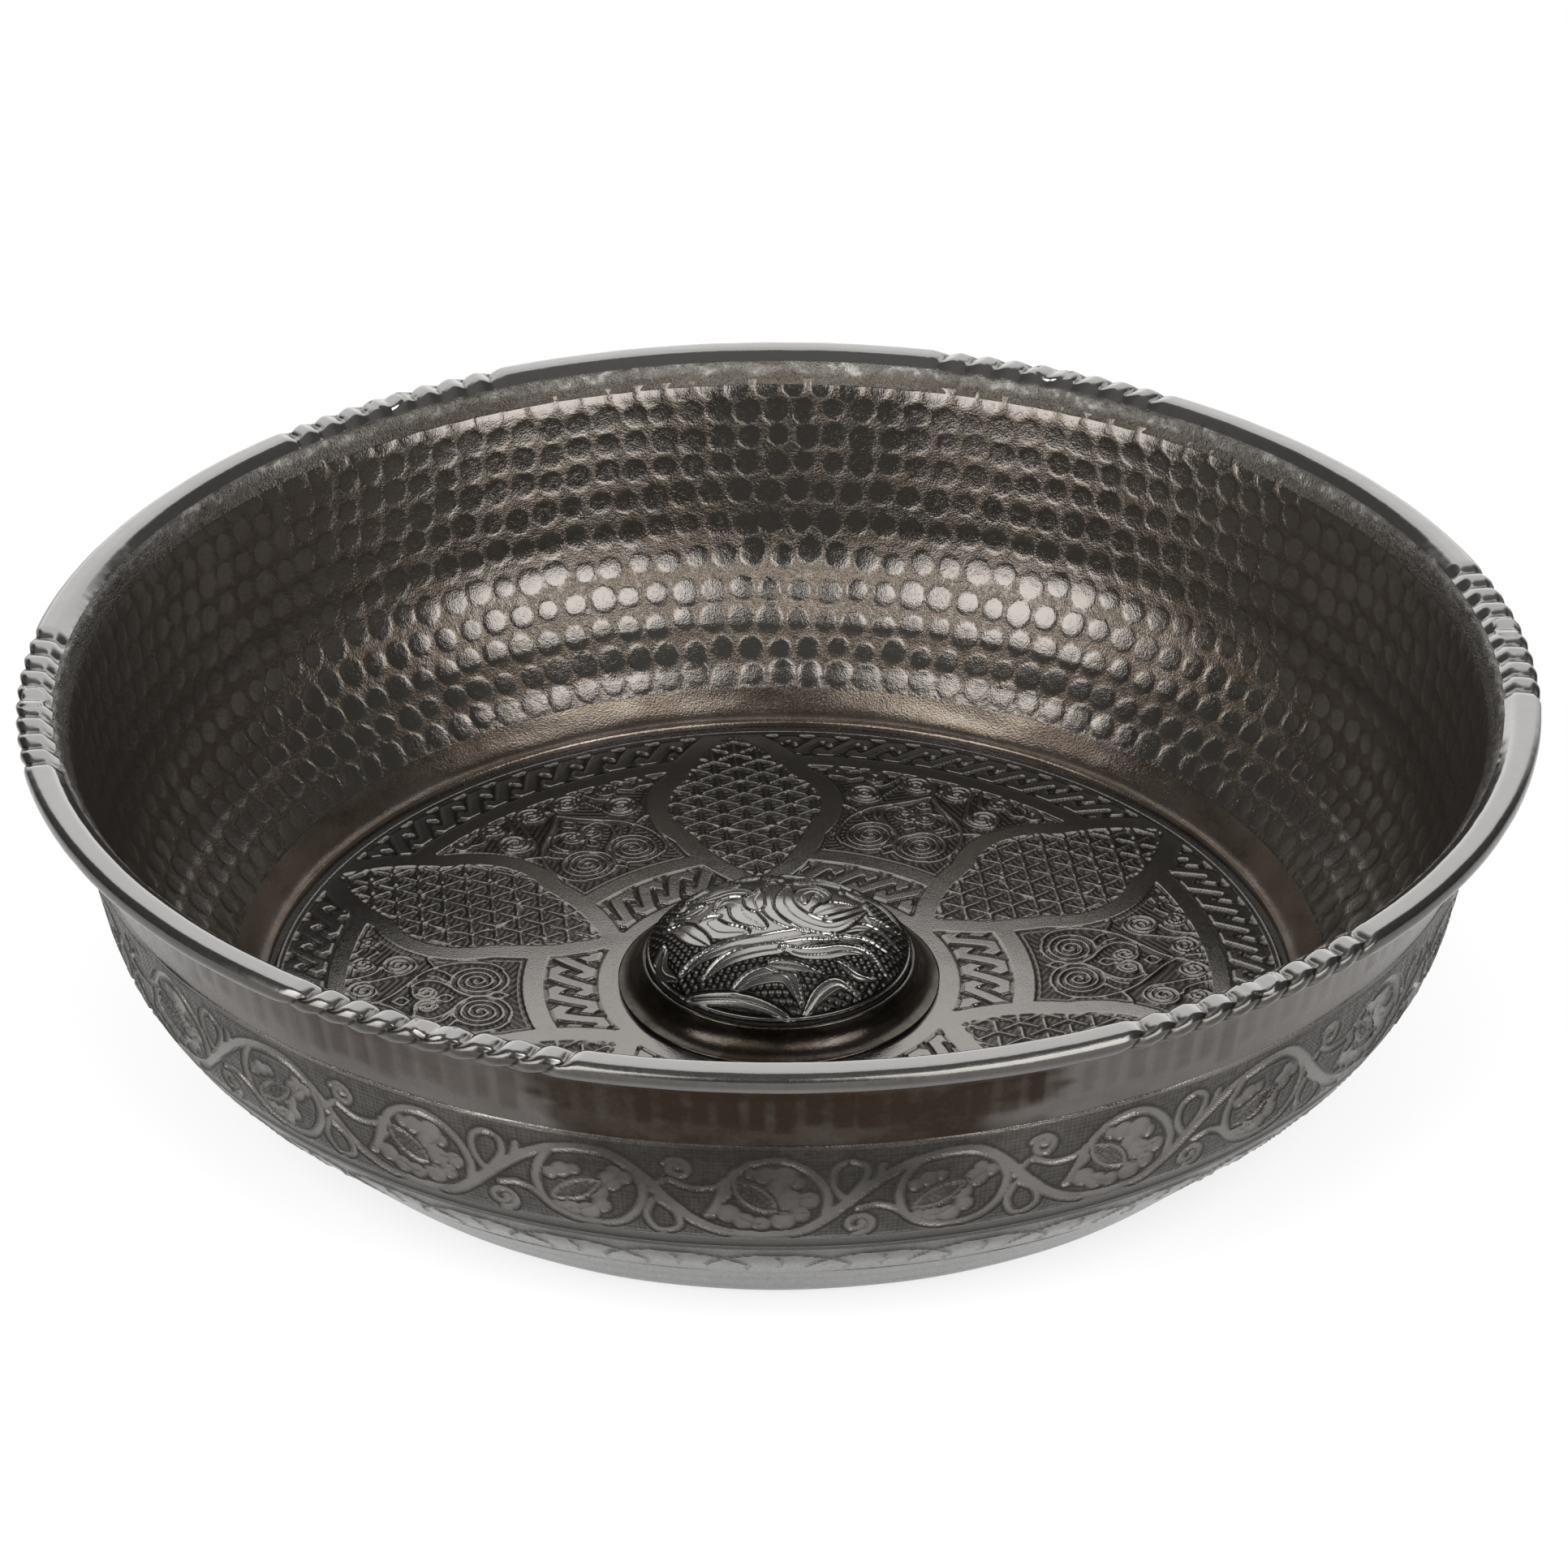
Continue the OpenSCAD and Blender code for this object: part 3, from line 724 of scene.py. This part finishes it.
# Rosette disc: six petals, six scrolled fans, frets outside and inside
disc = {"top": 2.6, "under": 1.6, "depth": 0.38, "turn": 6, "petalMid": 47.6, "petalHalf": 20.6,
        "petalWide": 9.2, "lobe": 11.2, "strap": 3.0, "soft": 0.42, "fret": (62.0, 68.3),
        "fan": (35.1, 59.3), "panel": (24.9, 32.2), "star": 3.85, "reach": 0.7, "circle": 7.2,
        "line": 0.35, "fretPitch": 5.12, "fretAt": 65.2, "panelPitch": 4.75, "panelAt": 28.6,
        "edge": 69.15, "edgeLine": 68.78, "hole": 20.0, "worn": (40, 6.0, 61),
        "rings": ((20.0, 24.9, 0.5), (24.9, 35.1, 0.27), (35.1, 59.4, 0.2), (59.4, 69.15, 0.28))}


def starLattice(u, w):
    # Y strokes on a triangular grid
    gap = disc["star"] * math.sin(math.radians(60))
    best = np.full(len(u), far)
    column = np.round(u / gap)
    for side in (-1, 0, 1):
        c = column + side
        x = u - c * gap
        lift = (c % 2) * disc["star"] / 2
        level = np.round((w - lift) / disc["star"])
        for step in (-1, 0, 1):
            y = w - lift - (level + step) * disc["star"]
            for a in (90, 210, 330):
                ex, ey = around(disc["reach"] * disc["star"], a)
                best = np.minimum(best, strokeDistance(x, y, 0, 0, ex, ey))
    return best


def polygonDistance(x, y, corners):
    # signed distance to a convex polygon whose corners run counter-clockwise, negative inside
    best = np.full(len(x), -far)
    for (ax, ay), (bx, by) in zip(corners, corners[1:] + corners[:1]):
        length = math.hypot(bx - ax, by - ay)
        best = np.maximum(best, ((x - ax) * (by - ay) - (y - ay) * (bx - ax)) / length)
    return best


def fretGround(a, v, pitch, tall):
    # the sunk parts between broad Z bars: two slanted channels, a lozenge and a triangle at each edge
    k = np.round(a / pitch)
    ground = np.full(len(a), far)
    across, high = pitch / 4.75, tall / 8.0    # drawn 4.75 wide and 8 tall
    y = (v - tall / 2) / high
    for step in (-1, 0, 1):
        x = (a - (k + step) * pitch) / across
        for sx in (1, -1):
            px, py = x * sx, y * sx
            ground = np.minimum(ground, strokeDistance(px, py, 3.2, 4.1, 0.3, -1.3) - 0.22)
            ground = np.minimum(ground, polygonDistance(px, py, [(0.7, 4.2), (1.8, 2.2), (3.3, 4.2)]))
        lozenge = [(0.3, -1.3), (0.7, 0.2), (-0.3, 1.3), (-0.7, -0.2)]
        ground = np.minimum(ground, polygonDistance(x, y, lozenge))
    return ground


# one half of a fan's scrolls, mirrored for the other
fanLines = [
    np.vstack((flowing([(0, 54.9), (1.8, 52.7), (4.8, 50.1), (7.0, 47.9), (8.5, 45.0), (8.9, 42.0),
                        (8.3, 39.0), (6.8, 37.4)]), spiral(3.95, 41.0, 4.25, 3.7, -58, -1))),
    np.vstack((flowing([(0, 41.9), (1.9, 43.9), (4.2, 46.1), (4.8, 48.2), (3.7, 50.1)]),
               spiral(1.7, 48.2, 1.8, 2.1, 80, 1))),
    np.vstack((spiral(3.1, 56.7, 2.4, 2.5, -15, 1)[::-1], flowing([(5.4, 55.6), (5.9, 54.0), (6.3, 52.6)]),
               spiral(9.2, 51.7, 2.8, 2.8, 172, 1))),
    np.vstack((spiral(9.8, 56.5, 1.9, 2.1, -20, 1)[::-1],
               flowing([(11.8, 55.6), (12.9, 54.6), (14.2, 54.8)]),
               spiral(15.7, 55.7, 1.35, 1.6, 190, 1)))]
fanLines += [flowing(p) for p in (
    [(0, 55.0), (0.5, 56.6), (0.8, 58.6)],
    [(6.2, 58.6), (6.6, 57.0), (7.6, 55.0), (9.0, 54.3)],
    [(12.6, 58.4), (13.0, 57.4), (14.0, 56.6)],
    [(8.3, 46.6), (10.4, 47.4), (12.0, 47.0)],
    [(0, 37.0), (0.9, 38.6), (0, 40.2)],
    [(0.1, 44.4), (0.9, 45.4), (0.2, 46.8)],
    [(0, 50.6), (1.0, 51.6), (0, 52.9)],
    [(3.6, 44.6), (5.4, 46.2), (5.9, 47.6)],
    [(5.6, 44.4), (6.8, 45.4), (7.2, 46.2)])]
fanScrolls = fanLines + [p * (-1.0, 1.0) for p in fanLines]


def sixthTurn(degrees):
    # the turn from the nearest of six spokes, in radians
    return np.radians((degrees + 30) % 60 - 30)


def rosetteRelief(angle, rad, run):
    degrees = np.degrees(angle)
    dice = np.random.default_rng(int(np.mean(rad) * 10) + int(round(np.mean(np.cos(angle)) * 100)) + 300)
    drift = 0.1 * np.sin(rad * 0.31 + degrees * 0.05) + 0.07 * np.sin(degrees * 0.23 + dice.uniform(0, 6))
    petalTurn = sixthTurn(degrees - disc["turn"] - 30)
    fanTurn = sixthTurn(degrees - disc["turn"])
    pu, pw = rad * np.sin(petalTurn) + drift, rad * np.cos(petalTurn)
    fu, fw = rad * np.sin(-fanTurn) + drift, rad * np.cos(fanTurn) + drift
    half, wide = disc["petalHalf"], disc["petalWide"]
    radius = (half * half + wide * wide) / (2 * wide)
    lens = np.hypot(np.abs(pu) + radius - wide, pw - disc["petalMid"]) - radius
    lens = np.minimum(lens, np.hypot(pu, pw - disc["petalMid"]) - disc["lobe"])
    petal = ease(0.0, disc["soft"], -lens)
    beyond = lens - disc["strap"]
    inner = {k: np.minimum.reduce([rad - disc[k][0], disc[k][1] - rad, beyond])
             for k in ("fret", "fan", "panel")}
    zone = {k: ease(0.0, disc["soft"], gap) for k, gap in inner.items()}
    top = np.zeros(len(rad))
    # petals: star lattice, a thin circle and hatched triangles
    inside = np.nonzero(petal > 0)[0]
    u, w = pu[inside], pw[inside] - disc["petalMid"]
    stars = ridge(starLattice(u, w), 0.3)
    ring = 0.8 * ridge(np.abs(np.hypot(u, w) - disc["circle"]), 0.2, 0.14)
    hatch = 0.3 * (0.5 + 0.5 * np.cos(pw[inside] * tau / 0.78))
    rimLine = 0.75 * ridge(np.abs(lens[inside] + 0.62), 0.14, 0.14)
    top[inside] = np.maximum.reduce([stars, ring, hatch, rimLine]) * petal[inside]
    # fans: scrolls over a hatched ground
    inside = np.nonzero(zone["fan"] > 0)[0]
    u, w = fu[inside], fw[inside]
    scroll = 0.28 * (0.5 + 0.5 * np.cos((w * 0.8 + np.abs(u) * 0.6) * tau / 0.85))
    for line in fanScrolls:
        scroll = np.maximum(scroll, ridge(lineDistance(u, w, line, 0.8), disc["line"], 0.1))
    scroll = np.maximum(scroll, 0.8 * ridge(np.abs(inner["fan"][inside] - 0.7), 0.14, 0.14))
    top[inside] = scroll * zone["fan"][inside]
    # frets: Z bars round the outside and in the panels by the boss
    for k in ("fret", "panel"):
        pitch, size = disc[k + "Pitch"], disc[k + "At"]
        inside = np.nonzero(zone[k] > 0)[0]
        low, high = disc[k]
        d = fretGround(-fanTurn[inside] * size, rad[inside] - low, pitch, high - low)
        hatch = 0.3 + 0.2 * np.cos((rad[inside] * 0.7 - fanTurn[inside] * size * 0.7) * tau / 0.62)
        bars = np.maximum(ease(-0.1, 0.16, d), hatch * ease(0.12, 0.34, -d))
        groove = ridge(np.abs(inner[k][inside] - 0.24), 0.1, 0.14)
        top[inside] = np.maximum(bars - 0.8 * groove, 1 - zone[k][inside])
    ground = np.maximum.reduce([petal, zone["fret"], zone["fan"], zone["panel"]])
    level = np.where((zone["fret"] > 0) | (zone["panel"] > 0), top, 1 - ground + top * 0.94)
    level = level - 0.55 * ridge(np.abs(rad - disc["edgeLine"]), 0.12, 0.12)
    worn = 0.06 * roughness(angle, run, *disc["worn"])
    return disc["depth"] * (np.clip(level, 0, 1) - 1) + worn * 0.3, np.clip(level, 0, 1)


stations = np.concatenate([np.arange(*ring) for ring in disc["rings"]] + [[disc["edge"]]])
discFront = np.column_stack((stations, np.full(len(stations), disc["top"])))
discBack = [(disc["edge"], disc["under"]), (disc["hole"], disc["under"])]
for k in range(6):
    sector = turned("rosetteDisc" + str(k + 1), metal["rosette"], discFront, discBack,
                    side=-1, spin=20, cuts=10, sculpt=rosetteRelief,
                    span=60.0, start=disc["turn"] + 60 * k)
    if k == 0:
        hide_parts("floor_medallion")

# Boss: flared collar and a domed cap with leaf scrolls over a beaded ground
boss = {"collar": 22.0, "flare": 3.2, "flareTall": 3.45, "foot": 2.65, "top": 6.6, "seat": 5.2, "bore": 16.1,
        "gap": 0.1, "capR": 18.2, "capFoot": 5.3, "capSheet": 1.2, "rise": 7.2, "depth": 0.5, "bead": 0.95,
        "step": 0.143, "paintedFrontReflection": (40, 2.0, 71), "tone": (60, 1.5, 72)}


def collarUneven(angle, rad, run):
    # a painted dark reflection at the front, on the side facing the camera, darkens the tone there
    paintedFrontReflection = ease(0.93, 0.97, 0.03 * roughness(angle, run, *boss["paintedFrontReflection"]) - np.sin(angle))
    tone = 0.34 + 0.3 * ease(4.0, 5.5, run) + 0.15 * roughness(angle, run, *boss["tone"])
    tone = tone * (1 - 0.8 * paintedFrontReflection)
    return 0.03 * np.sin(7 * angle + run) + 0.02 * np.sin(19 * angle), np.clip(tone, 0, 1)


bow = np.radians(np.linspace(0, 90, 26))
flare = np.column_stack((boss["collar"] - boss["flare"] * np.sin(bow),
                         boss["top"] - boss["flareTall"] * np.cos(bow)))
collarIn = boss["capR"] + boss["gap"]
collarFront = np.vstack(([(boss["collar"] - 0.02, boss["foot"])], flare, [(collarIn, boss["top"])]))
collarBack = [(collarIn, boss["seat"]), (boss["bore"], boss["seat"]), (boss["bore"], boss["foot"])]
collar = turned("bossCollar", metal["collar"], collarFront, collarBack,
                side=1, spin=90, cuts=3, sculpt=collarUneven)
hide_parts("boss_collar")

# leaves and straps drawn from above in millimetres, with their half widths
domeBlades = [
    ([(-13.5, -9.8), (-10.5, -8.2), (-6.5, -7.4), (-2, -7), (2, -5.9), (5, -4.9), (9, -5.2), (12, -4.3),
      (16, -5.5)], 1.2),
    ([(-10, -11.5), (-7, -9.6), (-3, -8.8), (1, -8.2), (4.5, -6.8), (8, -5.8)], 1.1),
    ([(0.5, -8.2), (3, -9.1), (6, -8.6), (9, -7.2), (12, -6.8), (15.2, -9.8)], 1.05),
    ([(7.5, -4.6), (10.5, -2), (13.2, -1.2), (17, -3.8)], 0.75),
    ([(-0.8, 9), (-1, 4), (-0.6, 0), (1.2, -3), (4, -4.6)], 1.5),
    ([(1.2, 7), (0.7, 2.5), (1.6, -0.5), (4, -2.8), (7, -3.2), (9.4, -1), (11.8, 3)], 1.5),
    ([(3.4, 2.4), (3.2, 4.6), (4.8, 6.4), (6.2, 4.6), (5.6, 1.6)], 1.15),
    ([(5, -0.6), (7.4, 1.8), (10.4, 3.6)], 1.3),
    ([(-2.2, -3.8), (-4.6, -1), (-5.2, 2), (-7.2, 3.4), (-8.6, 1.6)], 1.7),
    ([(-3, 0.4), (-3.4, 3), (-2.6, 5.8)], 1.3),
    ([(-4.6, -4.8), (-8, -3.8), (-9.6, -1.2), (-8, -0.4)], 1.6),
    ([(-9.5, -6), (-11.6, -3.2), (-13.2, -0.6), (-16, 1)], 1.3),
    ([(-4, 5.4), (-6.6, 6.4), (-9.6, 5.8), (-14.4, 7.2)], 1.5),
    ([(-10.4, 3.4), (-12.6, 2.6), (-15.8, 4.4)], 0.9),
    ([(-6, 9), (-9, 11.2), (-12.8, 10.8)], 1.2), ([(2.6, 9), (5.6, 11.6), (9.2, 10.8), (8.6, 7.6)], 1.1),
    ([(0, 10.4), (-1.4, 13.4), (0.6, 17)], 1.2), ([(10, 8), (13.2, 7.4), (16.4, 3)], 1.1),
    ([(-3.4, 12.4), (-6.4, 14.4), (-8.4, 16)], 1.0), ([(5, 13.6), (8.4, 14.6), (10.4, 13)], 0.9),
    ([(-6, -14.2), (-3, -12.8), (0.8, -12.6), (2.2, -14.6), (3.4, -17.2)], 1.25),
    ([(3.4, -17.2), (5.6, -14.4), (8.2, -12.6), (10.8, -13.8)], 0.9),
    ([(-1.2, -11), (2, -11.2), (6, -12)], 0.85),
    ([(-13.6, -12.4), (-9.6, -14), (-4.4, -15.6), (0.2, -17.2), (3.6, -18.6)], 0.8),
    ([(-15.4, -3), (-15.8, -6.8), (-13.4, -10)], 0.95), ([(8, -9.6), (10.4, -10.8), (12.8, -10.2)], 0.65),
    ([(12.4, 1.6), (14.6, 0.8), (17.4, 1.4)], 0.8)]


def domeRelief(angle, rad, run):
    x, y = rad * np.cos(angle), rad * np.sin(angle)
    pitch = boss["bead"]
    row = np.round(y / pitch)
    shift = x / pitch + 0.5 * (row % 2)
    d = np.hypot(shift - np.round(shift), y / pitch - row) * pitch
    level = 0.4 * np.sqrt(np.clip(1 - (d / (0.4 * pitch)) ** 2, 0, 1))
    bearing = np.arctan2(y - 3.0, x)
    reach = np.hypot((x + 0.4) / 13.4, (y - 3.0) / 11.2)
    reach = reach + 0.05 * np.sin(5 * bearing + 0.7) + 0.03 * np.sin(11 * bearing)
    level = np.maximum(level, 0.82 * (1 - ease(0.97, 1.02, reach)))
    for points, half in domeBlades:
        d, middle = blade(x, y, points, half, 0.8)
        body = (1 - ease(-0.1, 0.1, d)) * (0.92 + 0.08 * np.clip(1 - (middle / half) ** 2, 0, 1))
        outline = ridge(np.abs(d - 0.16), 0.1, 0.12)
        vein = ridge(middle, 0.05, 0.09)
        level = np.maximum(level * (1 - 0.85 * outline), body * (1 - 0.55 * vein))
    level = np.maximum(level, ease(18.95, 19.25, run) * (1 - ridge(np.abs(run - 19.7), 0.08, 0.12)))
    # darker on the side facing the camera and towards the foot of the dome: painted shade
    tone = level * (1 - 0.5 * ease(7.5, 12.0, -y)) * (1 - 0.4 * ease(14.0, 17.0, rad))
    return boss["depth"] * (level - 0.8), tone


domeR = (boss["capR"] ** 2 + boss["rise"] ** 2) / (2 * boss["rise"])
spread = math.degrees(math.asin(boss["capR"] / domeR))
domeMid = boss["top"] + boss["rise"] - domeR
domeFront = arcPoints(0, domeMid, domeR, 90, 90 - spread, 142)
crown = boss["top"] + boss["rise"] * (1 - np.clip(domeFront[:, 0] / boss["capR"], 0, 1) ** 2.6) ** 0.625
domeFront[:, 1] = (domeFront[:, 1] + crown) / 2
domeFront = evenly(domeFront, boss["step"])
domeBack = np.vstack(([(boss["capR"], boss["capFoot"]), (boss["capR"] - 1, boss["capFoot"])],
                      arcPoints(0, domeMid, domeR - boss["capSheet"], 90 - spread + 3, 90, 8)))
cap = turned("bossCap", metal["dome"], domeFront, domeBack,
             side=1, spin=60, cuts=8, sculpt=domeRelief)
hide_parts("boss_cap")
print("bowl modelled")

# The wire stays as packed, with its own finish
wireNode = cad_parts["rim_wire"]
wireNode.data.materials.clear()
wireNode.data.materials.append(metal["wire"])

# Floor, light and camera
studio = {"floor": 3.0, "floorAt": -0.0002, "floorGlow": 0.7, "left": (-0.577, -0.557, 0.45),
          "right": (0.515, -0.614, 0.45), "lightAim": (0, 0, 0.03), "size": (0.72, 0.9), "power": 15.0,
          "back": 2.2, "room": 0.14, "above": 0.3, "aim": (0.0007, 0.0, 0.03346),
          "eye": (0.0007, -0.5899, 0.3741), "lens": 116.8}


def facing(place, aim):
    return (Vector(aim) - Vector(place)).to_track_quat("-Z", "Y").to_euler()


def paleFloor():
    bm = bmesh.new()
    bmesh.ops.create_grid(bm, x_segments=8, y_segments=8, size=studio["floor"])
    bmesh.ops.translate(bm, verts=bm.verts, vec=(0, 0, studio["floorAt"]))
    me = bpy.data.meshes.new("paleFloor")
    bm.to_mesh(me)
    bm.free()
    material = bpy.data.materials.new("paleFloor")
    material.use_nodes = True
    tree = material.node_tree
    paint = tree.nodes["Principled BSDF"]
    paint.inputs["Base Color"].default_value = (0.8, 0.8, 0.8, 1)
    paint.inputs["Roughness"].default_value = 0.9
    paint.inputs["Specular IOR Level"].default_value = 0.0
    glow = tree.nodes.new("ShaderNodeEmission")
    path = tree.nodes.new("ShaderNodeLightPath")
    seen = addMath(tree, "ADD", path.outputs["Is Camera Ray"], path.outputs["Is Glossy Ray"], clamp=True)
    mixed = tree.nodes.new("ShaderNodeMixShader")
    tree.links.new(addMath(tree, "MULTIPLY", seen, studio["floorGlow"]), mixed.inputs[0])
    tree.links.new(paint.outputs[0], mixed.inputs[1])
    tree.links.new(glow.outputs[0], mixed.inputs[2])
    tree.links.new(mixed.outputs[0], tree.nodes["Material Output"].inputs["Surface"])
    me.materials.append(material)
    floor = bpy.data.objects.new("paleFloor", me)
    scene.collection.objects.link(floor)


def softbox(name, place):
    data = bpy.data.lights.new(name, "AREA")
    data.shape = "RECTANGLE"
    data.size, data.size_y = studio["size"]
    data.energy = studio["power"]
    lamp = bpy.data.objects.new(name, data)
    lamp.location = place
    lamp.rotation_euler = facing(place, studio["lightAim"])
    scene.collection.objects.link(lamp)


def studioSky():
    # a bright tent behind the bowl, dark towards the room behind the camera
    world = bpy.data.worlds.new("studioSky")
    world.use_nodes = True
    tree = world.node_tree
    look = tree.nodes.new("ShaderNodeSeparateXYZ")
    tree.links.new(tree.nodes.new("ShaderNodeTexCoord").outputs["Generated"], look.inputs[0])
    above = addMath(tree, "MULTIPLY_ADD", look.outputs["Z"], 4.0, -2.8, clamp=True)
    dark = addMath(tree, "MULTIPLY_ADD", above, studio["above"] - studio["room"], studio["room"])
    aside = addMath(tree, "ABSOLUTE", look.outputs["X"])
    behind = addMath(tree, "MULTIPLY", addMath(tree, "SUBTRACT", look.outputs["Y"], aside), 5.0, clamp=True)
    glow = addMath(tree, "MULTIPLY_ADD", behind, addMath(tree, "SUBTRACT", studio["back"], dark), dark)
    tree.nodes["Background"].inputs["Color"].default_value = (1, 1, 1, 1)
    tree.links.new(glow, tree.nodes["Background"].inputs["Strength"])
    scene.world = world


paleFloor()
softbox("softboxLeft", studio["left"])
softbox("softboxRight", studio["right"])
studioSky()
camera = bpy.data.cameras.new("photoCamera")
camera.lens = studio["lens"]
eye = bpy.data.objects.new("photoCamera", camera)
eye.location = studio["eye"]
eye.rotation_euler = facing(studio["eye"], studio["aim"])
scene.collection.objects.link(eye)
scene.camera = eye
print("studio set")

bpy.context.view_layer.update()
